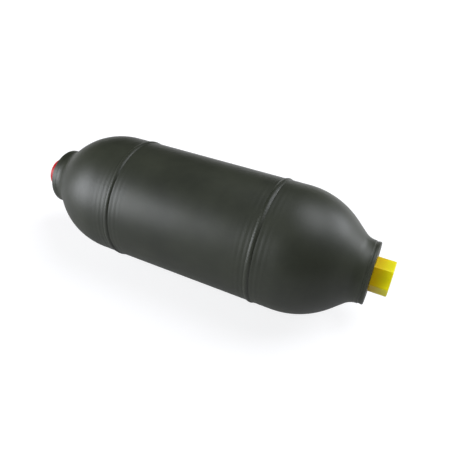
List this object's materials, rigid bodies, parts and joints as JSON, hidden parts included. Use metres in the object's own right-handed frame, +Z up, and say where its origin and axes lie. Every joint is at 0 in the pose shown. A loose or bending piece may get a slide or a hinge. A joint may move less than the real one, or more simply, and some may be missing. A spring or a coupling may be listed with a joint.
{
  "type": "bladder accumulator",
  "caption": "Hydraulic bladder accumulator: painted welded steel vessel with rubber bladder, poppet port and gas valve under plastic caps.",
  "frame": {"origin": "on the vessel's axis, midway between the two circular welds, at the centre of the clamp band seat", "axes": "+X along the vessel's axis towards the fluid port, -X towards the gas valve, +Z up with the vessel lying on its side"},
  "size_m": [0.6725, 0.2226, 0.2226],
  "materials": {
    "vessel_paint": "dark olive grey enamel over steel",
    "weld_paint": "dark olive grey enamel over a weld bead",
    "turned_steel": "turned and phosphated steel",
    "plated_steel": "zinc plated steel",
    "spring_steel": "spring wire",
    "bladder_rubber": "moulded nitrile rubber",
    "seal_rubber": "nitrile rubber",
    "backup_plastic": "white PTFE",
    "bronze": "bronze bush",
    "valve_brass": "turned brass",
    "red_cap": "moulded polyethylene",
    "yellow_cap": "moulded polyethylene"
  },
  "bodies": {
    "vessel": {"shell_tube": "vessel_paint", "gas_head": "vessel_paint", "fluid_head": "vessel_paint", "gas_weld": "weld_paint", "fluid_weld": "weld_paint", "bladder": "bladder_rubber", "gas_stem": "turned_steel", "stem_washer": "plated_steel", "stem_lock_nut": "plated_steel", "gas_valve_body": "plated_steel", "valve_seal_ring": "bronze", "valve_core": "valve_brass", "valve_core_spring": "spring_steel", "fluid_port_body": "turned_steel", "anti_extrusion_ring": "seal_rubber", "ring_inserts": "turned_steel", "port_washer": "turned_steel", "port_o_ring": "seal_rubber", "port_backup_ring": "backup_plastic", "port_spacer": "vessel_paint", "port_ring_nut": "vessel_paint", "poppet_guide": "turned_steel", "poppet_bush": "bronze", "poppet_spring": "spring_steel"},
    "poppet_valve": {"poppet": "turned_steel", "poppet_stop_nut": "plated_steel"},
    "charging_pin": {"valve_pin": "valve_brass"},
    "port_cap": {"fluid_port_cap": "yellow_cap"},
    "valve_cap": {"gas_valve_cap": "red_cap"}
  },
  "joints": [
    {"name": "poppet_travel", "type": "slide", "parent": "vessel", "child": "poppet_valve", "axis": [1, 0, 0], "range_m": [0, 0.012], "stiffness_N_per_m": 2500, "springref_m": -0.012, "deforming": ["poppet_spring"]},
    {"name": "valve_pin_press", "type": "slide", "parent": "vessel", "child": "charging_pin", "axis": [1, 0, 0], "range_m": [0, 0.0012], "stiffness_N_per_m": 300, "springref_m": -0.001, "deforming": ["valve_core_spring"]},
    {"name": "fluid_cap_off", "type": "slide", "parent": "vessel", "child": "port_cap", "axis": [1, 0, 0], "range_m": [0, 0.12]},
    {"name": "gas_cap_off", "type": "slide", "parent": "vessel", "child": "valve_cap", "axis": [-1, 0, 0], "range_m": [0, 0.08]}
  ]
}
